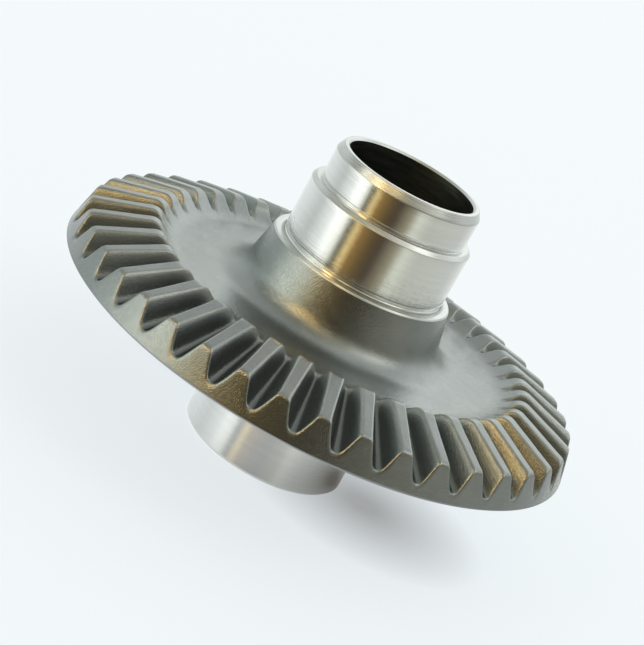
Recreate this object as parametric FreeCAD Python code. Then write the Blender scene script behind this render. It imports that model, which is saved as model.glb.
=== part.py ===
"""Straight-tooth bevel crown wheel pressed on a stepped hub tube.

Units are millimetres and +Z is up.  The origin is the centre of the hub
tube's lower end face, and the axis of the gear is the Z axis.
Two pieces: the forged crown wheel and the ground hub tube.
"""
import math
import os

import FreeCAD
import Part

# ---- driving sizes -------------------------------------------------------
TOOTH_COUNT = 41
BEARING_SEAT_D = 50.0        # both bearing journals, as for a 50 mm bore bearing
SEAL_JOURNAL_D = 45.0        # seal journal above the upper bearing seat
PILOT_BORE_D = 39.0          # plain bore at both ends of the hub tube
RIM_D = 159.2                # largest diameter of the wheel, below the teeth

# ---- heights along the axis ----------------------------------------------
LOWER_SHOULDER_Z = 20.0
BACK_FACE_Z = 35.7
WEB_TOP_Z = 46.9
UPPER_SHOULDER_Z = 63.1
STEP_Z = 81.5
HUB_HEIGHT = 93.0

# ---- teeth, given on two rings: the heel (outer) and the toe (inner) -----
FACE_SLOPE = 0.30            # rise of the face cone per unit of radius inwards
ROOT_SLOPE = 0.365           # rise of the root cone per unit of radius inwards
HEEL_R = 78.7
HEEL_ROOT_Z = 39.1
HEEL_DEPTH = 6.8
HEEL_GAP_HALF = 4.45         # half width of the gap at the face cone
HEEL_FLOOR_HALF = 1.3        # half width of the gap at the root cone
TOE_R = 60.0
TOE_GAP_HALF = 2.7
TOE_FLOOR_HALF = 1.0
ROOT_FILLET_R = 0.8
TIP_FLARE_R = 0.7
FLARE_EXIT = math.radians(8.0)
FLARE_RUN = 2.0              # how far the gap cutter runs on past its flares
CUTTER_HEADROOM = 6.0        # how far the gap cutter stands above the teeth
CUTTER_OVERHANG = 6.0        # how far the gap cutter sticks out past the heel
TOE_TIP_R = 58.4
HEEL_TIP_ROUND = 1.8
TOE_TIP_ROUND = 4.0

# ---- wheel blank ----------------------------------------------------------
WEB_EDGE_R = 50.0            # where the flat web ends and the toe slope starts
TOE_SLOPE_ROUND = 9.0
BOSS_TOP_R = 27.85
BOSS_DRAFT = math.radians(13.0)
BOSS_FILLET_R = 8.0
BACK_RECESS_OUTER_R = 64.0
BACK_RECESS_DEPTH = 2.5
BACK_RECESS_FILLET_R = 3.0
BACK_RECESS_EDGE_ROUND = 1.5
LOWER_BOSS_FILLET_R = 6.0
SHOULDER_EDGE_ROUND = 0.5
RIM_CHAMFER = 1.2
RIM_EDGE_ROUND = 0.6

# ---- hub tube -------------------------------------------------------------
SEAT_CHAMFER = 1.0
SEAT_RELIEF_DEPTH = 0.4      # relief groove against each shoulder
SEAT_RELIEF_FLOOR = 1.0
STEP_CHAMFER_RISE = 1.2
SEAL_RELIEF_DEPTH = 0.3      # relief groove above the step
SEAL_RELIEF_FLOOR = 0.9
SEAL_LEAD_RISE = 2.4         # long chamfer that leads the seal on
SEAL_LEAD_DEPTH = 1.3
SEAL_LEAD_ROUND = 0.6
BORE_CHAMFER = 0.6
SPLINE_COUNT = 28
SPLINE_MINOR_D = 35.0
SPLINE_MAJOR_D = 38.0
SPLINE_BOTTOM_Z = 22.0
SPLINE_TOP_Z = 68.0
SPLINE_LEAD_IN = 2.0
GROOVE_MOUTH_SHARE = 0.33    # half width of a spline groove as a share of the pitch
GROOVE_FLOOR_SHARE = 0.18
GROOVE_RUNOUT = 1.0


def point(r, z):
    """A point of the half section in the XZ plane."""
    return FreeCAD.Vector(r, 0.0, z)


def rounded_outline(corners):
    """Closed wire through (r, z, radius) corners, each rounded by its radius."""
    count = len(corners)
    starts = []
    ends = []
    middles = []
    for i in range(count):
        here = point(corners[i][0], corners[i][1])
        radius = corners[i][2]
        if radius <= 0.0:
            starts.append(here)
            ends.append(here)
            middles.append(None)
            continue
        before = point(*corners[i - 1][:2])
        after = point(*corners[(i + 1) % count][:2])
        to_before = (before - here).normalize()
        to_after = (after - here).normalize()
        half = to_before.getAngle(to_after) / 2.0
        reach = radius / math.tan(half)
        centre = here + (to_before + to_after).normalize() * (radius / math.sin(half))
        starts.append(here + to_before * reach)
        ends.append(here + to_after * reach)
        middles.append(centre + (here - centre).normalize() * radius)
    edges = []
    for i in range(count):
        if middles[i] is not None:
            edges.append(Part.Arc(starts[i], middles[i], ends[i]).toShape())
        following = starts[(i + 1) % count]
        edges.append(Part.makeLine(ends[i], following))
    return Part.Wire(edges)


def revolve(corners):
    """Solid of revolution about Z from a rounded half section."""
    face = Part.Face(rounded_outline(corners))
    axis_point = FreeCAD.Vector(0.0, 0.0, 0.0)
    axis = FreeCAD.Vector(0.0, 0.0, 1.0)
    return face.revolve(axis_point, axis, 360.0)


def face_cone_z(r):
    """Height of the tooth tips at radius r."""
    return HEEL_ROOT_Z + HEEL_DEPTH + FACE_SLOPE * (HEEL_R - r)


def root_cone_z(r):
    """Height of the gap floors at radius r."""
    return HEEL_ROOT_Z + ROOT_SLOPE * (HEEL_R - r)


def heel_tip():
    """Corner where the face cone meets the heel face, which stands square to it."""
    run = HEEL_DEPTH * FACE_SLOPE / (1.0 + FACE_SLOPE ** 2)
    r = HEEL_R - run
    return r, face_cone_z(r)


def boss_foot(z):
    """Radius of the drafted boss side at height z."""
    return BOSS_TOP_R + (UPPER_SHOULDER_Z - z) * math.tan(BOSS_DRAFT)


def lower_boss_foot(z):
    """Radius of the drafted lower boss side at height z."""
    return BOSS_TOP_R + (z - LOWER_SHOULDER_Z) * math.tan(BOSS_DRAFT)


def make_wheel_blank():
    """Web, boss and toothed rim before the gaps are cut."""
    seat_r = BEARING_SEAT_D / 2.0
    rim_r = RIM_D / 2.0
    rim_edge_z = HEEL_ROOT_Z - (rim_r - HEEL_R) / FACE_SLOPE
    recess_z = BACK_FACE_Z + BACK_RECESS_DEPTH
    heel_tip_r, heel_tip_z = heel_tip()
    corners = [
        (seat_r, LOWER_SHOULDER_Z, 0.0),
        (BOSS_TOP_R, LOWER_SHOULDER_Z, SHOULDER_EDGE_ROUND),
        (lower_boss_foot(recess_z), recess_z, LOWER_BOSS_FILLET_R),
        (BACK_RECESS_OUTER_R, recess_z, BACK_RECESS_FILLET_R),
        (BACK_RECESS_OUTER_R + BACK_RECESS_DEPTH, BACK_FACE_Z, BACK_RECESS_EDGE_ROUND),
        (rim_r - RIM_CHAMFER, BACK_FACE_Z, 0.0),
        (rim_r, rim_edge_z, RIM_EDGE_ROUND),
        (heel_tip_r, heel_tip_z, HEEL_TIP_ROUND),
        (TOE_TIP_R, face_cone_z(TOE_TIP_R), TOE_TIP_ROUND),
        (toe_slope_foot_r(), WEB_TOP_Z, TOE_SLOPE_ROUND),
        (boss_foot(WEB_TOP_Z), WEB_TOP_Z, BOSS_FILLET_R),
        (BOSS_TOP_R, UPPER_SHOULDER_Z, SHOULDER_EDGE_ROUND),
        (seat_r, UPPER_SHOULDER_Z, 0.0),
    ]
    return revolve(corners)


def toe_slope_foot_r():
    """Corner where the toe slope line would meet the flat web."""
    rise = face_cone_z(TOE_TIP_R) - WEB_TOP_Z
    low = WEB_EDGE_R
    high = TOE_TIP_R
    for _ in range(60):
        middle = (low + high) / 2.0
        angle = math.atan2(rise, TOE_TIP_R - middle)
        tangent = middle - TOE_SLOPE_ROUND * math.tan(angle / 2.0)
        if tangent < WEB_EDGE_R:
            low = middle
        else:
            high = middle
    return (low + high) / 2.0


def blend(heel_value, toe_value, r):
    """Straight-line value between the heel ring and the toe ring."""
    share = (HEEL_R - r) / (HEEL_R - TOE_R)
    return heel_value + (toe_value - heel_value) * share


def gap_section(r):
    """Closed section of one tooth gap in the plane at radius r."""
    gap_half = blend(HEEL_GAP_HALF, TOE_GAP_HALF, r)
    floor_half = blend(HEEL_FLOOR_HALF, TOE_FLOOR_HALF, r)
    floor_z = root_cone_z(r)
    tip_z = face_cone_z(r)
    flank = math.atan2(tip_z - floor_z, gap_half - floor_half)
    root_reach = ROOT_FILLET_R * math.tan(flank / 2.0)
    root_y = floor_half - root_reach
    flare_y = gap_half + TIP_FLARE_R * math.tan(flank / 2.0)

    def on_root(angle):
        return (root_y + ROOT_FILLET_R * math.sin(angle),
                floor_z + ROOT_FILLET_R * (1.0 - math.cos(angle)))

    def on_flare(angle):
        return (flare_y - TIP_FLARE_R * math.sin(angle),
                tip_z - TIP_FLARE_R * (1.0 - math.cos(angle)))

    side = [
        on_root(0.0),
        on_root(flank / 2.0),
        on_root(flank),
        on_flare(flank),
        on_flare((flank + FLARE_EXIT) / 2.0),
        on_flare(FLARE_EXIT),
    ]
    exit_y, exit_z = side[-1]
    outside_y = exit_y + FLARE_RUN
    outside_z = exit_z + FLARE_RUN * math.tan(FLARE_EXIT)
    side.append((outside_y, outside_z))
    side.append((outside_y, outside_z + CUTTER_HEADROOM))
    right = [FreeCAD.Vector(r, y, z) for y, z in side]
    left = [FreeCAD.Vector(r, -y, z) for y, z in side]
    edges = [
        Part.makeLine(left[0], right[0]),
        Part.Arc(right[0], right[1], right[2]).toShape(),
        Part.makeLine(right[2], right[3]),
        Part.Arc(right[3], right[4], right[5]).toShape(),
        Part.makeLine(right[5], right[6]),
        Part.makeLine(right[6], right[7]),
        Part.makeLine(right[7], left[7]),
        Part.makeLine(left[7], left[6]),
        Part.makeLine(left[6], left[5]),
        Part.Arc(left[5], left[4], left[3]).toShape(),
        Part.makeLine(left[3], left[2]),
        Part.Arc(left[2], left[1], left[0]).toShape(),
    ]
    return Part.Wire(edges)


def make_gap_cutter():
    """One tooth gap, running from outside the heel to inside the toe."""
    sections = [gap_section(HEEL_R + CUTTER_OVERHANG), gap_section(WEB_EDGE_R)]
    return Part.makeLoft(sections, True, True)


def around_axis(shape, count):
    """Copies of a shape spaced evenly around Z."""
    origin = FreeCAD.Vector(0.0, 0.0, 0.0)
    axis = FreeCAD.Vector(0.0, 0.0, 1.0)
    copies = []
    for i in range(count):
        copy = shape.copy()
        copy.rotate(origin, axis, 360.0 * i / count)
        copies.append(copy)
    return copies


def make_crown_wheel():
    """Forged crown wheel with its straight bevel teeth."""
    wheel = make_wheel_blank()
    return wheel.cut(around_axis(make_gap_cutter(), TOOTH_COUNT))


def make_tube_blank():
    """Ground hub tube with its journals, relief grooves and chamfers."""
    seat_r = BEARING_SEAT_D / 2.0
    seat_relief_r = seat_r - SEAT_RELIEF_DEPTH
    seat_relief_far = SEAT_RELIEF_DEPTH + SEAT_RELIEF_FLOOR
    seat_relief_end = seat_relief_far + SEAT_RELIEF_DEPTH
    seal_r = SEAL_JOURNAL_D / 2.0
    seal_relief_r = seal_r - SEAL_RELIEF_DEPTH
    seal_relief_end = SEAL_RELIEF_FLOOR + SEAL_RELIEF_DEPTH
    bore_r = PILOT_BORE_D / 2.0
    mouth_r = bore_r + BORE_CHAMFER
    minor_r = SPLINE_MINOR_D / 2.0
    corners = [
        (mouth_r, 0.0, 0.0),
        (seat_r - SEAT_CHAMFER, 0.0, 0.0),
        (seat_r, SEAT_CHAMFER, 0.0),
        (seat_r, LOWER_SHOULDER_Z - seat_relief_end, 0.0),
        (seat_relief_r, LOWER_SHOULDER_Z - seat_relief_far, 0.0),
        (seat_relief_r, LOWER_SHOULDER_Z - SEAT_RELIEF_DEPTH, 0.0),
        (seat_r, LOWER_SHOULDER_Z, 0.0),
        (seat_r, UPPER_SHOULDER_Z, 0.0),
        (seat_relief_r, UPPER_SHOULDER_Z + SEAT_RELIEF_DEPTH, 0.0),
        (seat_relief_r, UPPER_SHOULDER_Z + seat_relief_far, 0.0),
        (seat_r, UPPER_SHOULDER_Z + seat_relief_end, 0.0),
        (seat_r, STEP_Z - STEP_CHAMFER_RISE, 0.0),
        (seat_r - SEAT_CHAMFER, STEP_Z, 0.0),
        (seal_relief_r, STEP_Z, 0.0),
        (seal_relief_r, STEP_Z + SEAL_RELIEF_FLOOR, 0.0),
        (seal_r, STEP_Z + seal_relief_end, 0.0),
        (seal_r, HUB_HEIGHT - SEAL_LEAD_RISE, SEAL_LEAD_ROUND),
        (seal_r - SEAL_LEAD_DEPTH, HUB_HEIGHT, 0.0),
        (mouth_r, HUB_HEIGHT, 0.0),
        (bore_r, HUB_HEIGHT - BORE_CHAMFER, 0.0),
        (bore_r, SPLINE_TOP_Z, 0.0),
        (minor_r, SPLINE_TOP_Z - SPLINE_LEAD_IN, 0.0),
        (minor_r, SPLINE_BOTTOM_Z + SPLINE_LEAD_IN, 0.0),
        (bore_r, SPLINE_BOTTOM_Z, 0.0),
        (bore_r, BORE_CHAMFER, 0.0),
    ]
    return revolve(corners)


def make_spline_groove():
    """One groove of the internal drive spline."""
    minor_r = SPLINE_MINOR_D / 2.0
    major_r = SPLINE_MAJOR_D / 2.0
    pitch = math.pi * (minor_r + major_r) / SPLINE_COUNT
    inner_half = pitch * GROOVE_MOUTH_SHARE
    outer_half = pitch * GROOVE_FLOOR_SHARE
    start_r = minor_r - GROOVE_RUNOUT
    base_z = SPLINE_BOTTOM_Z - GROOVE_RUNOUT
    height = SPLINE_TOP_Z + GROOVE_RUNOUT - base_z
    outline = Part.makePolygon([
        FreeCAD.Vector(start_r, -inner_half, base_z),
        FreeCAD.Vector(major_r, -outer_half, base_z),
        FreeCAD.Vector(major_r, outer_half, base_z),
        FreeCAD.Vector(start_r, inner_half, base_z),
        FreeCAD.Vector(start_r, -inner_half, base_z),
    ])
    return Part.Face(outline).extrude(FreeCAD.Vector(0.0, 0.0, height))


def make_hub_tube():
    """Stepped hub tube with an internal drive spline in its middle."""
    tube = make_tube_blank()
    return tube.cut(around_axis(make_spline_groove(), SPLINE_COUNT))


def main():
    """Writes each piece to its own STEP file after checking that it is one solid."""
    os.makedirs("parts", exist_ok=True)
    nodes = {
        "crown_wheel": make_crown_wheel(),
        "hub_tube": make_hub_tube(),
    }
    for name, shape in nodes.items():
        solids = shape.Solids
        if len(solids) != 1 or not shape.isValid():
            raise RuntimeError(name + " is not one valid solid")
        solids[0].exportStep("parts/" + name + ".step")
        print(name, "volume", round(solids[0].Volume, 1), "box", solids[0].BoundBox)


main()
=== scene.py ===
"""Looks of the bevel crown wheel on its hub tube: skins, steels, studio and camera."""
import math

import bpy
import numpy as np
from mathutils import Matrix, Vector


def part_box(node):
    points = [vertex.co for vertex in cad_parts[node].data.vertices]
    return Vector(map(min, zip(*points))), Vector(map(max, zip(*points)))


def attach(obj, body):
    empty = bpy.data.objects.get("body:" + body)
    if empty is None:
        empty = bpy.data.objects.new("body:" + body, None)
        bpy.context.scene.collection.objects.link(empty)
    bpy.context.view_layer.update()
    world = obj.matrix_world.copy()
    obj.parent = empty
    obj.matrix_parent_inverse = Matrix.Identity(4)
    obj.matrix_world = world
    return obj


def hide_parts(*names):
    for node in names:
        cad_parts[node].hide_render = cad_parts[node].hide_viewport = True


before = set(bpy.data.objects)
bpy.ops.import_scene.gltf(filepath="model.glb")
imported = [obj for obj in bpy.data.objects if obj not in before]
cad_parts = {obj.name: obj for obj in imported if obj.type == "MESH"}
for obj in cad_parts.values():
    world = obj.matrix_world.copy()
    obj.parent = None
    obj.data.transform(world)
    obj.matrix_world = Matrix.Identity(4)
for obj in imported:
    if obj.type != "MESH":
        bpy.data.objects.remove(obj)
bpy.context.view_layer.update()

MM = 0.001
SCENE = bpy.context.scene

# ---- sizes of the two pieces, in millimetres, as in the CAD part ------------
WHEEL_LOW, WHEEL_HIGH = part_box("crown_wheel")
HUB_LOW, HUB_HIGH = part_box("hub_tube")
LOWER_SHOULDER_Z = WHEEL_LOW.z / MM
UPPER_SHOULDER_Z = WHEEL_HIGH.z / MM
RIM_R = WHEEL_HIGH.x / MM
SEAT_R = HUB_HIGH.x / MM
HUB_HEIGHT = HUB_HIGH.z / MM
TOOTH_COUNT = 41
BACK_FACE_Z = 35.7
WEB_TOP_Z = 46.9
STEP_Z = 81.5
SEAL_R = 22.5
BORE_R = 19.5
FACE_SLOPE = 0.30
ROOT_SLOPE = 0.365
HEEL_R = 78.7
HEEL_ROOT_Z = 39.1
HEEL_DEPTH = 6.8
HEEL_GAP_HALF = 4.45
HEEL_FLOOR_HALF = 1.3
TOE_R = 60.0
TOE_GAP_HALF = 2.7
TOE_FLOOR_HALF = 1.0
TOE_TIP_R = 58.4
TOE_FOOT_R = 53.3
TOE_TIP_ROUND = 4.0
HEEL_TIP_ROUND = 1.8
TOE_SLOPE_ROUND = 9.0
BOSS_TOP_R = 27.85
BOSS_DRAFT = math.radians(13.0)
BOSS_FILLET_R = 8.0
SHOULDER_CHAMFER = 0.35
SHOULDER_CHAMFER_RISE = 0.55
LOWER_BOSS_FILLET_R = 6.0
BACK_RECESS_OUTER_R = 64.0
BACK_RECESS_DEPTH = 2.5
BACK_RECESS_FILLET_R = 3.0
BACK_RECESS_EDGE_ROUND = 1.5
RIM_CHAMFER = 1.2
SEAT_CHAMFER = 1.0
SEAT_RELIEF_DEPTH = 0.4
SEAT_RELIEF_FLOOR = 1.0
STEP_CHAMFER_RISE = 1.2
SEAL_RELIEF_DEPTH = 0.3
SEAL_RELIEF_FLOOR = 0.9
SEAL_LEAD_RISE = 2.4
SEAL_LEAD_DEPTH = 1.3
SEAL_LEAD_ROUND = 0.8
BORE_CHAMFER = 0.6
SPLINE_COUNT = 28
SPLINE_MINOR_R = 17.5
SPLINE_MAJOR_R = 19.0
SPLINE_BOTTOM_Z = 22.0
SPLINE_TOP_Z = 68.0
SPLINE_LEAD_IN = 2.0

# ---- how the skins are rounded and divided ----------------------------------
GAP_EDGE_ROUND = 1.5          # softness of the edges between gap and land
GAP_ROOT_ROUND = 0.7          # softness of the corners of the gap floor
GAPS_FROM_R = 50.0            # no gap is cut inside this radius,
GAPS_FROM_Z = WEB_TOP_Z - 9.0     # or below this height
HALF_GAP_DIVISIONS = (2, 3, 3, 5, 3)
FIRST_TOOTH_RING_R = 53.0     # inside this radius the columns only run on
FINE_ROUND = 0.1              # rounding of the small corners of grooves and chamfers
FINE_STEP = 0.5               # ring spacing on small faces
ARC_STEP = math.radians(12.0)
NO_CORNER = math.radians(89.0)    # a half angle over this is no corner to round
SHARP_ANGLE = math.radians(50.0)
SPLINE_LAND_SHARE = 0.36      # land and flank of the spline, as shares of half a pitch
SPLINE_FLANK_SHARE = 0.30
HUB_COLUMNS = SPLINE_COUNT * 20

# ---- the slow unevenness of the forging --------------------------------------
FORGED_WAVE_SEED = 11
FORGED_WAVE_COUNT = 7
FORGED_WAVE_HEIGHT = 0.010
SHORTEST_WAVE = 5.0
LONGEST_WAVE = 16.0
LARGEST_WAVE_PHASE = 6.3      # about a full turn, in radians


# ---- outlines ----------------------------------------------------------------
def rounded_outline(corners):
    """Points round a closed section from (r, z, rounding, step, finish) corners."""
    count = len(corners)
    starts = []
    arcs = []
    for i in range(count):
        here = Vector(corners[i][:2])
        rounding = corners[i][2]
        to_before = (Vector(corners[i - 1][:2]) - here).normalized()
        to_after = (Vector(corners[(i + 1) % count][:2]) - here).normalized()
        half = to_before.angle(to_after) / 2.0
        if rounding == 0.0 or half > NO_CORNER:
            starts.append(here)
            arcs.append([here])
            continue
        start = here + to_before * (rounding / math.tan(half))
        centre = here + (to_before + to_after).normalized() * (rounding / math.sin(half))
        sweep = math.pi - 2.0 * half
        turn = 1.0 if to_before.x * to_after.y - to_before.y * to_after.x < 0.0 else -1.0
        divisions = max(3, math.ceil(sweep / ARC_STEP))
        spoke = start - centre
        arc = []
        for k in range(divisions + 1):
            angle = turn * sweep * k / divisions
            arc.append(centre + Vector((
                spoke.x * math.cos(angle) - spoke.y * math.sin(angle),
                spoke.x * math.sin(angle) + spoke.y * math.cos(angle),
            )))
        starts.append(start)
        arcs.append(arc)
    points = []
    finishes = []
    for i in range(count):
        step = corners[i][3]
        finish = corners[i][4]
        run_end = starts[(i + 1) % count]
        for spot in arcs[i]:
            points.append(spot)
            finishes.append(finish)
        run = run_end - arcs[i][-1]
        divisions = max(1, round(run.length / step))
        for k in range(1, divisions):
            points.append(arcs[i][-1] + run * (k / divisions))
            finishes.append(finish)
    return np.array([list(p) for p in points]), finishes


def blend(heel_value, toe_value, r):
    """Straight-line value between the heel ring and the toe ring."""
    share = (HEEL_R - r) / (HEEL_R - TOE_R)
    return heel_value + (toe_value - heel_value) * share


def face_cone_z(r):
    """Height of the tooth tips at radius r."""
    return HEEL_ROOT_Z + HEEL_DEPTH + FACE_SLOPE * (HEEL_R - r)


def root_cone_z(r):
    """Height of the gap floors at radius r."""
    return HEEL_ROOT_Z + ROOT_SLOPE * (HEEL_R - r)


def wheel_outline():
    """Half section of the wheel before its gaps, from the upper shoulder outwards."""
    tip_run = HEEL_DEPTH * FACE_SLOPE / (1.0 + FACE_SLOPE ** 2)
    heel_tip_r = HEEL_R - tip_run
    rim_edge_z = HEEL_ROOT_Z - (RIM_R - HEEL_R) / FACE_SLOPE
    recess_z = BACK_FACE_Z + BACK_RECESS_DEPTH
    draft = math.tan(BOSS_DRAFT)
    boss_foot_r = BOSS_TOP_R + (UPPER_SHOULDER_Z - WEB_TOP_Z) * draft
    lower_foot_r = BOSS_TOP_R + (recess_z - LOWER_SHOULDER_Z) * draft
    shoulder_r = BOSS_TOP_R - SHOULDER_CHAMFER
    upper_edge_z = UPPER_SHOULDER_Z - SHOULDER_CHAMFER_RISE
    lower_edge_z = LOWER_SHOULDER_Z + SHOULDER_CHAMFER_RISE
    recess_edge_r = BACK_RECESS_OUTER_R + BACK_RECESS_DEPTH
    return rounded_outline([
        (SEAT_R, UPPER_SHOULDER_Z, 0.0, 1.0, "machined"),
        (shoulder_r, UPPER_SHOULDER_Z, 0.12, 1.0, "machined"),
        (BOSS_TOP_R, upper_edge_z, 0.2, 1.0, "forged"),
        (boss_foot_r, WEB_TOP_Z, BOSS_FILLET_R, 1.3, "forged"),
        (TOE_FOOT_R, WEB_TOP_Z, TOE_SLOPE_ROUND, 0.4, "forged"),
        (TOE_TIP_R, face_cone_z(TOE_TIP_R), TOE_TIP_ROUND, 0.75, "forged"),
        (heel_tip_r, face_cone_z(heel_tip_r), HEEL_TIP_ROUND, 0.36, "forged"),
        (RIM_R, rim_edge_z, 0.35, 0.3, "turned"),
        (RIM_R - RIM_CHAMFER, BACK_FACE_Z, 0.15, 2.5, "turned"),
        (recess_edge_r, BACK_FACE_Z, BACK_RECESS_EDGE_ROUND, 1.0, "forged"),
        (BACK_RECESS_OUTER_R, recess_z, BACK_RECESS_FILLET_R, 1.6, "forged"),
        (lower_foot_r, recess_z, LOWER_BOSS_FILLET_R, 1.3, "forged"),
        (BOSS_TOP_R, lower_edge_z, 0.2, 1.0, "machined"),
        (shoulder_r, LOWER_SHOULDER_Z, 0.12, 1.0, "machined"),
        (SEAT_R, LOWER_SHOULDER_Z, 0.0, 6.0, "machined"),
    ])


# ---- the teeth -----------------------------------------------------------------
def half_gap_keys(r):
    """Distances from the gap's middle at which the columns bunch up, out to the land's."""
    gap_half = blend(HEEL_GAP_HALF, TOE_GAP_HALF, r)
    floor_half = blend(HEEL_FLOOR_HALF, TOE_FLOOR_HALF, r)
    half_pitch = math.pi * r / TOOTH_COUNT
    flank = gap_half - floor_half
    land_half = half_pitch - gap_half
    return (
        0.0,
        floor_half * 0.6,
        floor_half + flank * 0.25,
        gap_half - flank * 0.25,
        gap_half + land_half * 0.45,
        half_pitch,
    )


def pitch_columns(r):
    """Distances across one tooth pitch, from land middle to land middle."""
    r = min(max(r, FIRST_TOOTH_RING_R), RIM_R)
    keys = half_gap_keys(r)
    right = [0.0]
    for i, divisions in enumerate(HALF_GAP_DIVISIONS):
        for k in range(1, divisions + 1):
            right.append(keys[i] + (keys[i + 1] - keys[i]) * k / divisions)
    left = [-y for y in reversed(right[1:])]
    return np.array(left[1:] + right) / r


def gap_height(r, y):
    """Height of a tooth gap's surface at radius r and distance y from its middle."""
    gap_half = blend(HEEL_GAP_HALF, TOE_GAP_HALF, r)
    floor_half = blend(HEEL_FLOOR_HALF, TOE_FLOOR_HALF, r)
    steepness = (face_cone_z(r) - root_cone_z(r)) / (gap_half - floor_half)
    over = np.abs(y) - floor_half
    ramp = (over + np.sqrt(over ** 2 + GAP_ROOT_ROUND ** 2)) / 2.0
    return root_cone_z(r) + steepness * ramp


def soft_lower(a, b, softness):
    """The lower of two heights, with the corner between them rounded off."""
    near = np.maximum(softness - np.abs(a - b), 0.0) / softness
    return np.minimum(a, b) - near ** 2 * softness / 4.0


def wheel_points():
    """Grid of points over the whole wheel: rings along the section, columns round it.

    Also gives how deep each point lies in a tooth gap, as a share of the tooth's depth.
    """
    outline, finishes = wheel_outline()
    rings = []
    sunk = []
    for r, z in outline:
        angles = pitch_columns(r)
        heights = np.full(len(angles), z)
        if GAPS_FROM_R < r < RIM_R and z > GAPS_FROM_Z:
            heights = soft_lower(heights, gap_height(r, angles * r), GAP_EDGE_ROUND)
        sunk.append(np.tile((z - heights) / HEEL_DEPTH, TOOTH_COUNT))
        turned = []
        for tooth in range(TOOTH_COUNT):
            turned.append(angles + 2.0 * math.pi * tooth / TOOTH_COUNT)
        around = np.concatenate(turned)
        rings.append(np.stack([
            r * np.cos(around),
            r * np.sin(around),
            np.tile(heights, TOOTH_COUNT),
        ], axis=1))
    return np.array(rings), finishes, np.array(sunk)


# ---- the hub tube -----------------------------------------------------------------
def hub_outline():
    """Half section of the hub tube, from the lower end up the outside and down the bore."""
    lower = LOWER_SHOULDER_Z
    upper = UPPER_SHOULDER_Z
    seat_relief_r = SEAT_R - SEAT_RELIEF_DEPTH
    seat_relief_far = SEAT_RELIEF_DEPTH + SEAT_RELIEF_FLOOR
    seat_relief_end = seat_relief_far + SEAT_RELIEF_DEPTH
    seal_relief_r = SEAL_R - SEAL_RELIEF_DEPTH
    seal_relief_end = SEAL_RELIEF_FLOOR + SEAL_RELIEF_DEPTH
    mouth_r = BORE_R + BORE_CHAMFER
    return rounded_outline([
        (mouth_r, 0.0, FINE_ROUND, 0.8, "ground"),
        (SEAT_R - SEAT_CHAMFER, 0.0, 0.15, 0.8, "ground"),
        (SEAT_R, SEAT_CHAMFER, 0.3, 2.0, "ground"),
        (SEAT_R, lower - seat_relief_end, FINE_ROUND, FINE_STEP, "ground"),
        (seat_relief_r, lower - seat_relief_far, FINE_ROUND, FINE_STEP, "ground"),
        (seat_relief_r, lower - SEAT_RELIEF_DEPTH, FINE_ROUND, FINE_STEP, "ground"),
        (SEAT_R, lower, 0.0, 8.0, "ground"),
        (SEAT_R, upper, 0.0, FINE_STEP, "ground"),
        (seat_relief_r, upper + SEAT_RELIEF_DEPTH, FINE_ROUND, FINE_STEP, "ground"),
        (seat_relief_r, upper + seat_relief_far, FINE_ROUND, FINE_STEP, "ground"),
        (SEAT_R, upper + seat_relief_end, FINE_ROUND, 1.5, "ground"),
        (SEAT_R, STEP_Z - STEP_CHAMFER_RISE, 0.25, FINE_STEP, "machined"),
        (SEAT_R - SEAT_CHAMFER, STEP_Z, 0.15, 0.8, "machined"),
        (seal_relief_r, STEP_Z, FINE_ROUND, FINE_STEP, "ground"),
        (seal_relief_r, STEP_Z + SEAL_RELIEF_FLOOR, FINE_ROUND, FINE_STEP, "ground"),
        (SEAL_R, STEP_Z + seal_relief_end, FINE_ROUND, 1.5, "ground"),
        (SEAL_R, HUB_HEIGHT - SEAL_LEAD_RISE, SEAL_LEAD_ROUND, FINE_STEP, "machined"),
        (SEAL_R - SEAL_LEAD_DEPTH, HUB_HEIGHT, 0.2, 0.6, "machined"),
        (mouth_r, HUB_HEIGHT, 0.15, 0.4, "machined"),
        (BORE_R, HUB_HEIGHT - BORE_CHAMFER, FINE_ROUND, 3.0, "bore"),
        (BORE_R, SPLINE_TOP_Z, 0.0, FINE_STEP, "bore"),
        (SPLINE_MINOR_R, SPLINE_TOP_Z - SPLINE_LEAD_IN, 0.0, 4.0, "bore"),
        (SPLINE_MINOR_R, SPLINE_BOTTOM_Z + SPLINE_LEAD_IN, 0.0, FINE_STEP, "bore"),
        (BORE_R, SPLINE_BOTTOM_Z, 0.0, 3.0, "bore"),
        (BORE_R, BORE_CHAMFER, FINE_ROUND, FINE_STEP, "bore"),
    ])


def hub_points():
    """Grid of points over the hub tube; inside the spline the bore steps in and out."""
    outline, finishes = hub_outline()
    around = np.linspace(2.0 * math.pi, 0.0, HUB_COLUMNS, endpoint=False)
    share = np.abs((around * SPLINE_COUNT / (2.0 * math.pi)) % 1.0 - 0.5) * 2.0
    groove = np.clip((share - SPLINE_LAND_SHARE) / SPLINE_FLANK_SHARE, 0.0, 1.0)
    rings = []
    for r, z in outline:
        radii = np.full(HUB_COLUMNS, r)
        if r < SPLINE_MAJOR_R:
            radii = r + (SPLINE_MAJOR_R - r) * groove
        rings.append(np.stack([
            radii * np.cos(around),
            radii * np.sin(around),
            np.full(HUB_COLUMNS, z),
        ], axis=1))
    return np.array(rings), finishes


# ---- grids to meshes -------------------------------------------------------------------
def grid_normals(grid):
    """Outward normals of a closed grid of points."""
    along = np.roll(grid, -1, axis=0) - np.roll(grid, 1, axis=0)
    across = np.roll(grid, -1, axis=1) - np.roll(grid, 1, axis=1)
    normals = np.cross(along, across)
    return normals / np.maximum(np.linalg.norm(normals, axis=2, keepdims=True), 1e-9)


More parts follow.
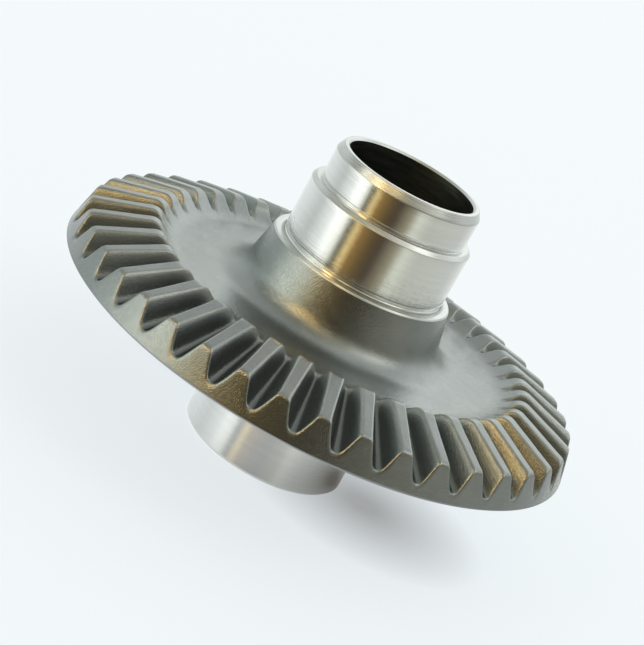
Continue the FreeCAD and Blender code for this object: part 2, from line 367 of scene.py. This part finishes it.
def bending(grid, normals):
    """How sharply the surface bends outwards, per millimetre: above 0 on edges."""
    total = np.zeros(grid.shape[:2])
    for axis in (0, 1):
        for step in (-1, 1):
            reach = np.roll(grid, step, axis=axis) - grid
            length = np.maximum((reach ** 2).sum(axis=2), 0.02)
            total -= (reach * normals).sum(axis=2) / length
    return total


def forged_waves(grid, normals, finishes):
    """The grid with the slow unevenness of a forging added to its unmachined rings."""
    draw = np.random.default_rng(FORGED_WAVE_SEED)
    swell = np.zeros(grid.shape[:2])
    for _ in range(FORGED_WAVE_COUNT):
        direction = draw.normal(size=3)
        wave_length = draw.uniform(SHORTEST_WAVE, LONGEST_WAVE)
        direction *= 2.0 * math.pi / (wave_length * np.linalg.norm(direction))
        swell += np.sin(grid @ direction + draw.uniform(0.0, LARGEST_WAVE_PHASE))
    rough = np.array([finish == "forged" for finish in finishes], float)
    rough = np.minimum(rough, np.roll(rough, 1))
    height = grid[:, :, 2]
    fade = np.clip((UPPER_SHOULDER_Z - height - 1.2) / 3.0, 0.0, 1.0)
    fade *= np.clip((height - BACK_FACE_Z - 0.8) / 2.0, 0.0, 1.0)
    lift = swell * FORGED_WAVE_HEIGHT * rough[:, None] * fade
    return grid + normals * lift[:, :, None]


def grid_mesh(name, grid, finishes, materials, marks):
    """Closed mesh piece from a grid that wraps both ways, with marks for its steels."""
    rings, columns = grid.shape[:2]
    ring = np.arange(rings)[:, None]
    column = np.arange(columns)[None, :]
    next_ring = (ring + 1) % rings
    next_column = (column + 1) % columns
    quads = np.stack([
        ring * columns + column,
        next_ring * columns + column,
        next_ring * columns + next_column,
        ring * columns + next_column,
    ], axis=2).reshape(-1, 4)
    mesh = bpy.data.meshes.new(name)
    mesh.vertices.add(rings * columns)
    mesh.vertices.foreach_set("co", (grid * MM).astype(np.float32).ravel())
    mesh.loops.add(len(quads) * 4)
    mesh.loops.foreach_set("vertex_index", quads.astype(np.int32).ravel())
    mesh.polygons.add(len(quads))
    mesh.polygons.foreach_set("loop_start", np.arange(0, len(quads) * 4, 4, dtype=np.int32))
    mesh.update(calc_edges=True)
    kinds = list(materials)
    indices = np.array([kinds.index(finish) for finish in finishes], np.int32)
    mesh.polygons.foreach_set("material_index", np.repeat(indices, columns))
    mesh.polygons.foreach_set("use_smooth", np.ones(len(quads), bool))
    for kind in kinds:
        mesh.materials.append(materials[kind])
    for mark, values in marks.items():
        attribute = mesh.attributes.new(mark, "FLOAT", "POINT")
        attribute.data.foreach_set("value", values.astype(np.float32).ravel())
    mesh.validate()
    piece = bpy.data.objects.new(name, mesh)
    SCENE.collection.objects.link(piece)
    piece.modifiers.new("even_shading", "WEIGHTED_NORMAL").keep_sharp = True
    return piece


# ---- steels -------------------------------------------------------------------------
class Nodes:
    """Small helper that adds and joins shader nodes."""

    def __init__(self, tree):
        self.tree = tree

    def add(self, kind, **settings):
        """New node of a kind, with its settings."""
        node = self.tree.nodes.new(kind)
        for key, value in settings.items():
            setattr(node, key, value)
        return node

    def link(self, output, socket):
        """Joins an output to an input socket."""
        self.tree.links.new(output, socket)

    def noise(self, vector, scale, detail, roughness=0.5):
        """Value noise, about 0.5 on average."""
        node = self.add("ShaderNodeTexNoise")
        node.inputs["Scale"].default_value = scale
        node.inputs["Detail"].default_value = detail
        node.inputs["Roughness"].default_value = roughness
        self.link(vector, node.inputs["Vector"])
        return node.outputs["Fac"]

    def map_range(self, value, low, high, to_low, to_high):
        """Value taken from one range to another and held inside it."""
        node = self.add("ShaderNodeMapRange")
        self.link(value, node.inputs["Value"])
        node.inputs["From Min"].default_value = low
        node.inputs["From Max"].default_value = high
        node.inputs["To Min"].default_value = to_low
        node.inputs["To Max"].default_value = to_high
        return node.outputs["Result"]

    def math(self, operation, a, b):
        """Result of a named operation on two numbers or outputs."""
        node = self.add("ShaderNodeMath", operation=operation)
        for socket, value in zip(node.inputs, (a, b)):
            if isinstance(value, (int, float)):
                socket.default_value = value
            else:
                self.link(value, socket)
        return node.outputs["Value"]

    def mix_colour(self, factor, a, b):
        """Colour between two colours or colour outputs."""
        node = self.add("ShaderNodeMix", data_type="RGBA")
        colour_inputs = [socket for socket in node.inputs if socket.type == "RGBA"]
        self.link(factor, node.inputs[0])
        for socket, value in zip(colour_inputs, (a, b)):
            if isinstance(value, tuple):
                socket.default_value = (*value, 1.0)
            else:
                self.link(value, socket)
        return [socket for socket in node.outputs if socket.type == "RGBA"][0]

    def bump(self, height, strength, distance, normal=None):
        """Normal tilted by a height, on top of an earlier normal."""
        node = self.add("ShaderNodeBump")
        node.inputs["Strength"].default_value = strength
        node.inputs["Distance"].default_value = distance
        self.link(height, node.inputs["Height"])
        if normal is not None:
            self.link(normal, node.inputs["Normal"])
        return node.outputs["Normal"]


def new_steel(name):
    """Metallic material with its helper, shader and object coordinates."""
    material = bpy.data.materials.new(name)
    material.use_nodes = True
    nodes = Nodes(material.node_tree)
    shader = material.node_tree.nodes["Principled BSDF"]
    shader.inputs["Metallic"].default_value = 1.0
    place = nodes.add("ShaderNodeTexCoord").outputs["Object"]
    return material, nodes, shader, place


def turned_lines(nodes, place, scale):
    """Noise that runs round the axis: fine in height and radius, long round it."""
    split = nodes.add("ShaderNodeSeparateXYZ")
    nodes.link(place, split.inputs["Vector"])
    across = nodes.math("MULTIPLY", split.outputs["X"], split.outputs["X"])
    deep = nodes.math("MULTIPLY", split.outputs["Y"], split.outputs["Y"])
    radius = nodes.math("SQRT", nodes.math("ADD", across, deep), 0.0)
    angle = nodes.math("ARCTAN2", split.outputs["Y"], split.outputs["X"])
    join = nodes.add("ShaderNodeCombineXYZ")
    nodes.link(nodes.math("MULTIPLY", angle, 0.0012), join.inputs["X"])
    nodes.link(radius, join.inputs["Y"])
    nodes.link(split.outputs["Z"], join.inputs["Z"])
    return nodes.noise(join.outputs["Vector"], scale, 3.0, 0.6)


def make_forged_steel():
    """Shot-blasted dark grey forging, lighter on worn edges with a painted highlight there, and
    with painted shade deep in the gaps.
    """
    material, nodes, shader, place = new_steel("forged_steel")
    patches = nodes.noise(place, 130.0, 3.0)
    grain = nodes.noise(place, 2950.0, 1.0)
    crust = nodes.noise(place, 900.0, 3.0)
    tone = nodes.map_range(patches, 0.35, 0.65, 0.0, 1.0)
    base = nodes.mix_colour(tone, (0.30, 0.32, 0.315), (0.33, 0.348, 0.342))
    speck = nodes.map_range(grain, 0.60, 0.74, 0.0, 0.35)
    base = nodes.mix_colour(speck, base, (0.50, 0.51, 0.48))
    # edges turn lighter and warmer: partly wear, partly a painted highlight of the warm lamp
    bend = nodes.add("ShaderNodeAttribute", attribute_name="bend").outputs["Fac"]
    wear_and_painted_highlight = nodes.map_range(bend, 0.5, 1.4, 0.0, 0.25)
    base = nodes.mix_colour(wear_and_painted_highlight, base, (0.52, 0.50, 0.43))
    # painted shade: the colour darkens deep in the tooth gaps, where the gaps shade themselves
    sunk = nodes.add("ShaderNodeAttribute", attribute_name="sunk").outputs["Fac"]
    painted_gap_shade = nodes.map_range(sunk, 0.05, 0.5, 0.0, 0.75)
    base = nodes.mix_colour(painted_gap_shade, base, (0.13, 0.14, 0.13))
    nodes.link(base, shader.inputs["Base Color"])
    rough = nodes.map_range(crust, 0.3, 0.7, 0.20, 0.26)
    nodes.link(rough, shader.inputs["Roughness"])
    normal = nodes.bump(crust, 0.05, 0.0004)
    normal = nodes.bump(grain, 0.58, 0.00015, normal)
    nodes.link(normal, shader.inputs["Normal"])
    return material


def make_turned_rim_steel():
    """Darker turned chamfer and back face of the rim."""
    material, nodes, shader, place = new_steel("turned_rim_steel")
    lines = turned_lines(nodes, place, 2200.0)
    tone = nodes.map_range(lines, 0.3, 0.7, 0.0, 1.0)
    colour = nodes.mix_colour(tone, (0.24, 0.25, 0.27), (0.32, 0.33, 0.35))
    nodes.link(colour, shader.inputs["Base Color"])
    nodes.link(nodes.map_range(lines, 0.3, 0.7, 0.26, 0.36), shader.inputs["Roughness"])
    nodes.link(nodes.bump(lines, 0.25, 0.0002), shader.inputs["Normal"])
    return material


def make_machined_steel():
    """Turned shoulders of the wheel, and chamfers of the hub tube."""
    material, nodes, shader, place = new_steel("machined_steel")
    lines = turned_lines(nodes, place, 3000.0)
    tone = nodes.map_range(lines, 0.3, 0.7, 0.0, 1.0)
    colour = nodes.mix_colour(tone, (0.62, 0.63, 0.63), (0.72, 0.73, 0.72))
    nodes.link(colour, shader.inputs["Base Color"])
    nodes.link(nodes.map_range(lines, 0.3, 0.7, 0.22, 0.34), shader.inputs["Roughness"])
    nodes.link(nodes.bump(lines, 0.2, 0.0001), shader.inputs["Normal"])
    return material


def make_ground_steel():
    """Bright journals with fine grinding lines round them."""
    material, nodes, shader, place = new_steel("ground_steel")
    lines = turned_lines(nodes, place, 2800.0)
    broad = turned_lines(nodes, place, 700.0)
    tone = nodes.map_range(broad, 0.3, 0.7, 0.0, 1.0)
    colour = nodes.mix_colour(tone, (0.77, 0.78, 0.76), (0.83, 0.84, 0.82))
    nodes.link(colour, shader.inputs["Base Color"])
    nodes.link(nodes.map_range(lines, 0.3, 0.7, 0.10, 0.17), shader.inputs["Roughness"])
    shader.inputs["Anisotropic"].default_value = 0.7
    shader.inputs["Anisotropic Rotation"].default_value = 0.25
    tangent = nodes.add("ShaderNodeTangent", direction_type="RADIAL", axis="Z")
    nodes.link(tangent.outputs["Tangent"], shader.inputs["Tangent"])
    nodes.link(nodes.bump(lines, 0.40, 0.0001), shader.inputs["Normal"])
    return material


def make_bore_steel():
    """Bore steel, far darker than the journals."""
    material, nodes, shader, place = new_steel("bore_steel")
    lines = turned_lines(nodes, place, 1500.0)
    tone = nodes.map_range(lines, 0.3, 0.7, 0.0, 1.0)
    colour = nodes.mix_colour(tone, (0.13, 0.145, 0.145), (0.19, 0.20, 0.18))
    nodes.link(colour, shader.inputs["Base Color"])
    nodes.link(nodes.map_range(lines, 0.3, 0.7, 0.28, 0.4), shader.inputs["Roughness"])
    nodes.link(nodes.bump(lines, 0.2, 0.0002), shader.inputs["Normal"])
    return material


# ---- camera ---------------------------------------------------------------------------
CAMERA_HEADING = -3.469       # direction of the camera from the axis, in degrees
CAMERA_DISTANCE = 0.53928     # from the axis
CAMERA_HEIGHT = 0.22317
CAMERA_TURN = (69.0067, -27.383, 96.784)      # about X, Y and Z, in degrees
CAMERA_LENS = 110.76
SENSOR = 36.0


def make_camera():
    """View down on the teeth, rolled so that the gear's axis leans to the right."""
    data = bpy.data.cameras.new("camera")
    data.sensor_width = SENSOR
    data.sensor_height = SENSOR
    data.sensor_fit = "VERTICAL"
    data.lens = CAMERA_LENS
    camera = bpy.data.objects.new("camera", data)
    heading = math.radians(CAMERA_HEADING)
    camera.location = (
        CAMERA_DISTANCE * math.cos(heading),
        CAMERA_DISTANCE * math.sin(heading),
        CAMERA_HEIGHT,
    )
    camera.rotation_euler = [math.radians(turn) for turn in CAMERA_TURN]
    SCENE.collection.objects.link(camera)
    SCENE.camera = camera


# ---- studio -----------------------------------------------------------------------------
FLOOR_COLUMNS = 96
FLOOR_HOLE_R = 0.001
FLOOR_NEAR_R = 0.14
FLOOR_FAR_R = 6.0
FLOOR_COLOUR = (0.27, 0.28, 0.29)
FLOOR_GLOW = (0.69, 0.735, 0.765)
FLOOR_CLEAR_IN_STEEL = 0.5    # how clear the near floor is where steel mirrors it
SHADE_PLACE = (0.004, 0.034, 0.0)
SHADE_COLOUR = (0.10, 0.09, 0.08)
SHADE_CORE_R = 0.004
SHADE_EDGE_R = 0.040
SHADE_MIRRORED_R = 0.070      # edge of the shade as the steel mirrors it
SHADE_DEPTH = 0.62
BACKDROP = (0.90, 0.965, 0.985)

# The studio round the gear in four heights (degrees up). Each height lists its colours
# by direction, in degrees from the camera's side, positive to the camera's right.
LOW_WALLS = (
    (-180.0, (0.95, 0.98, 0.98)),
    (-125.0, (0.80, 0.84, 0.84)),
    (-95.0, (0.58, 0.62, 0.61)),
    (-70.0, (0.92, 0.95, 0.95)),
    (-60.0, (1.30, 1.33, 1.30)),
    (-47.0, (1.05, 1.06, 0.98)),
    (-42.0, (0.13, 0.13, 0.10)),
    (-36.0, (0.15, 0.14, 0.09)),
    (-32.0, (0.98, 0.76, 0.36)),
    (-27.0, (0.85, 0.62, 0.27)),
    (-24.0, (0.34, 0.20, 0.06)),
    (-6.0, (0.13, 0.09, 0.04)),
    (8.0, (0.08, 0.062, 0.045)),
    (28.0, (0.36, 0.33, 0.23)),
    (39.0, (0.78, 0.82, 0.72)),
    (60.0, (0.58, 0.60, 0.54)),
    (125.0, (0.62, 0.65, 0.63)),
    (180.0, (0.95, 0.98, 0.98)),
)
WALLS = (
    (-180.0, (1.00, 1.08, 1.00)),
    (-150.0, (0.70, 0.77, 0.74)),
    (-110.0, (0.62, 0.70, 0.67)),
    (-92.0, (0.85, 0.95, 0.88)),
    (-75.0, (1.70, 1.78, 1.60)),
    (-62.0, (2.40, 2.50, 2.20)),
    (-50.0, (2.00, 2.00, 1.60)),
    (-40.0, (0.85, 0.78, 0.50)),
    (-31.0, (0.34, 0.25, 0.13)),
    (-12.0, (0.16, 0.12, 0.06)),
    (4.0, (0.07, 0.06, 0.04)),
    (22.0, (0.10, 0.09, 0.065)),
    (50.0, (0.29, 0.27, 0.22)),
    (75.0, (0.45, 0.44, 0.38)),
    (120.0, (0.42, 0.44, 0.40)),
    (150.0, (0.75, 0.80, 0.76)),
    (180.0, (1.00, 1.08, 1.00)),
)
HIGH_WALLS = (
    (-180.0, (1.20, 1.25, 1.24)),
    (-158.0, (0.88, 0.91, 0.90)),
    (-120.0, (0.82, 0.85, 0.84)),
    (-98.0, (0.28, 0.30, 0.28)),
    (-68.0, (0.27, 0.27, 0.20)),
    (-55.0, (0.34, 0.29, 0.18)),
    (-23.0, (0.36, 0.28, 0.14)),
    (-8.0, (0.18, 0.15, 0.08)),
    (10.0, (0.14, 0.12, 0.08)),
    (37.0, (0.24, 0.23, 0.17)),
    (60.0, (0.36, 0.36, 0.30)),
    (85.0, (0.34, 0.34, 0.30)),
    (112.0, (0.78, 0.81, 0.79)),
    (140.0, (1.30, 1.36, 1.34)),
    (180.0, (1.45, 1.50, 1.50)),
)
CEILING = (
    (-180.0, (0.55, 0.57, 0.54)),
    (-113.0, (0.56, 0.58, 0.56)),
    (-68.0, (0.46, 0.48, 0.38)),
    (-30.0, (0.48, 0.45, 0.32)),
    (0.0, (0.42, 0.39, 0.28)),
    (25.0, (0.62, 0.60, 0.50)),
    (45.0, (0.92, 0.92, 0.82)),
    (75.0, (0.95, 0.97, 0.94)),
    (110.0, (0.80, 0.82, 0.80)),
    (150.0, (0.68, 0.71, 0.69)),
    (180.0, (0.58, 0.60, 0.57)),
)
HEIGHTS = ((-14.0, LOW_WALLS), (6.0, WALLS), (26.0, HIGH_WALLS), (58.0, CEILING))

# Soft round lamps: degrees from the camera's side, degrees up, half width and colour.
LAMPS = (
    (-36.0, 28.5, 7.0, (5.6, 3.5, 1.2)),
    (-47.0, 37.0, 7.0, (1.9, 1.6, 1.1)),
    (-69.0, 34.0, 6.0, (2.2, 2.2, 1.9)),
    (-13.0, 48.0, 8.0, (1.3, 0.95, 0.5)),
    (78.0, 47.0, 12.0, (1.05, 1.05, 0.92)),
)


def sky_spot(nodes, direction, degrees, up, half_width):
    """1 inside a soft round patch of the studio's sky, and 0 outside it."""
    bearing = math.radians(degrees)
    rise = math.radians(up)
    aim = nodes.add("ShaderNodeVectorMath", operation="DOT_PRODUCT")
    nodes.link(direction, aim.inputs[0])
    aim.inputs[1].default_value = (
        math.cos(bearing) * math.cos(rise),
        math.sin(bearing) * math.cos(rise),
        math.sin(rise),
    )
    edge = math.cos(math.radians(half_width * 1.3))
    core = math.cos(math.radians(half_width * 0.7))
    return nodes.map_range(aim.outputs["Value"], edge, core, 0.0, 1.0)


def colour_ramp(nodes, share, stops):
    """Colours round the full circle, given by direction in degrees."""
    ramp = nodes.add("ShaderNodeValToRGB")
    nodes.link(share, ramp.inputs["Fac"])
    elements = ramp.color_ramp.elements
    elements.remove(elements[-1])
    for i, (degrees, colour) in enumerate(stops):
        position = (degrees + 180.0) / 360.0
        element = elements[0] if i == 0 else elements.new(position)
        element.position = position
        element.color = (*colour, 1.0)
    return ramp.outputs["Color"]


def make_world():
    """Pale studio for the steel to mirror, with a plain pale backdrop for the camera."""
    world = bpy.data.worlds.new("studio")
    world.use_nodes = True
    SCENE.world = world
    nodes = Nodes(world.node_tree)
    world.node_tree.nodes.clear()
    direction = nodes.add("ShaderNodeTexCoord").outputs["Generated"]
    split = nodes.add("ShaderNodeSeparateXYZ")
    nodes.link(direction, split.inputs["Vector"])
    turn = nodes.add("ShaderNodeVectorRotate", rotation_type="Z_AXIS")
    nodes.link(direction, turn.inputs["Vector"])
    turn.inputs["Angle"].default_value = -math.radians(CAMERA_HEADING)
    turned = nodes.add("ShaderNodeSeparateXYZ")
    nodes.link(turn.outputs["Vector"], turned.inputs["Vector"])
    angle = nodes.math("ARCTAN2", turned.outputs["Y"], turned.outputs["X"])
    share = nodes.map_range(angle, -math.pi, math.pi, 0.0, 1.0)
    below, stops = HEIGHTS[0]
    colour = colour_ramp(nodes, share, stops)
    for up, stops in HEIGHTS[1:]:
        low = math.sin(math.radians(below))
        high = math.sin(math.radians(up))
        rise = nodes.map_range(split.outputs["Z"], low, high, 0.0, 1.0)
        colour = nodes.mix_colour(rise, colour, colour_ramp(nodes, share, stops))
        below = up
    for degrees, up, half_width, lamp_colour in LAMPS:
        spot = sky_spot(nodes, turn.outputs["Vector"], degrees, up, half_width)
        glow = nodes.add("ShaderNodeVectorMath", operation="SCALE")
        glow.inputs[0].default_value = lamp_colour
        nodes.link(spot, glow.inputs["Scale"])
        total = nodes.add("ShaderNodeVectorMath", operation="ADD")
        nodes.link(colour, total.inputs[0])
        nodes.link(glow.outputs["Vector"], total.inputs[1])
        colour = total.outputs["Vector"]
    lit = nodes.add("ShaderNodeBackground")
    nodes.link(colour, lit.inputs["Color"])
    seen = nodes.add("ShaderNodeBackground")
    seen.inputs["Color"].default_value = (*BACKDROP, 1.0)
    ray = nodes.add("ShaderNodeLightPath").outputs["Is Camera Ray"]
    choose = nodes.add("ShaderNodeMixShader")
    nodes.link(ray, choose.inputs["Fac"])
    nodes.link(lit.outputs["Background"], choose.inputs[1])
    nodes.link(seen.outputs["Background"], choose.inputs[2])
    output = nodes.add("ShaderNodeOutputWorld")
    nodes.link(choose.outputs["Shader"], output.inputs["Surface"])


def make_floor_material():
    """Pale floor that glows, with a soft shade beside the lower journal.

    Steel mirrors the shade wider and darker, and the rest of the floor half clear.
    """
    material = bpy.data.materials.new("studio_floor")
    material.use_nodes = True
    shader = material.node_tree.nodes["Principled BSDF"]
    shader.inputs["Roughness"].default_value = 0.9
    shader.inputs["Specular IOR Level"].default_value = 0.1
    shader.inputs["Emission Strength"].default_value = 1.0
    nodes = Nodes(material.node_tree)
    offset = nodes.add("ShaderNodeVectorMath", operation="DISTANCE")
    nodes.link(nodes.add("ShaderNodeNewGeometry").outputs["Position"], offset.inputs[0])
    offset.inputs[1].default_value = SHADE_PLACE
    away = offset.outputs["Value"]
    seen = nodes.map_range(away, SHADE_CORE_R, SHADE_EDGE_R, SHADE_DEPTH, 0.0)
    wide = nodes.map_range(away, SHADE_CORE_R, SHADE_MIRRORED_R, 1.0, 0.0)
    mirrored = nodes.add("ShaderNodeLightPath").outputs["Is Glossy Ray"]
    extra = nodes.math("MULTIPLY", mirrored, nodes.math("SUBTRACT", wide, seen))
    shade = nodes.math("ADD", seen, extra)
    nodes.link(nodes.mix_colour(shade, FLOOR_COLOUR, SHADE_COLOUR), shader.inputs["Base Color"])
    nodes.link(nodes.mix_colour(shade, FLOOR_GLOW, SHADE_COLOUR), shader.inputs["Emission Color"])
    clearness = nodes.map_range(wide, 0.0, 1.0, FLOOR_CLEAR_IN_STEEL, 0.0)
    clear = nodes.math("MULTIPLY", mirrored, clearness)
    nodes.link(nodes.math("SUBTRACT", 1.0, clear), shader.inputs["Alpha"])
    return material


def make_ring(name, inner_r, outer_r, material):
    """Flat staged ring on the floor, made of one band of quads."""
    points = []
    faces = []
    for i in range(FLOOR_COLUMNS):
        angle = 2.0 * math.pi * i / FLOOR_COLUMNS
        for r in (inner_r, outer_r):
            points.append((r * math.cos(angle), r * math.sin(angle), 0.0))
        j = (i + 1) % FLOOR_COLUMNS
        faces.append((2 * i, 2 * i + 1, 2 * j + 1, 2 * j))
    mesh = bpy.data.meshes.new(name)
    mesh.from_pydata(points, [], faces)
    mesh.materials.append(material)
    ring = bpy.data.objects.new(name, mesh)
    SCENE.collection.objects.link(ring)
    return ring


def make_floor():
    """Floor under the gear, in two rings; the steel doesn't mirror the far one."""
    material = make_floor_material()
    make_ring("floor_near", FLOOR_HOLE_R, FLOOR_NEAR_R, material)
    far = make_ring("floor_far", FLOOR_NEAR_R, FLOOR_FAR_R, material)
    far.visible_glossy = False


# ---- putting it together -------------------------------------------------------------------
def make_wheel_skin(steels):
    """Visible crown wheel, in place of the CAD one."""
    grid, finishes, sunk = wheel_points()
    grid = forged_waves(grid, grid_normals(grid), finishes)
    bend = np.clip(bending(grid, grid_normals(grid)), -2.0, 2.0)
    wheel = grid_mesh("crown_wheel_skin", grid, finishes, steels, {"bend": bend, "sunk": sunk})
    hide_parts("crown_wheel")
    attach(wheel, "root")


def make_hub_skin(steels):
    """Visible hub tube, in place of the CAD one."""
    grid, finishes = hub_points()
    hub = grid_mesh("hub_tube_skin", grid, finishes, steels, {})
    hub.data.set_sharp_from_angle(angle=SHARP_ANGLE)
    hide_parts("hub_tube")
    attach(hub, "root")


make_camera()
machined_steel = make_machined_steel()
make_wheel_skin({
    "forged": make_forged_steel(),
    "machined": machined_steel,
    "turned": make_turned_rim_steel(),
})
make_hub_skin({
    "ground": make_ground_steel(),
    "machined": machined_steel,
    "bore": make_bore_steel(),
})
make_world()
make_floor()
SCENE.view_settings.view_transform = "Standard"
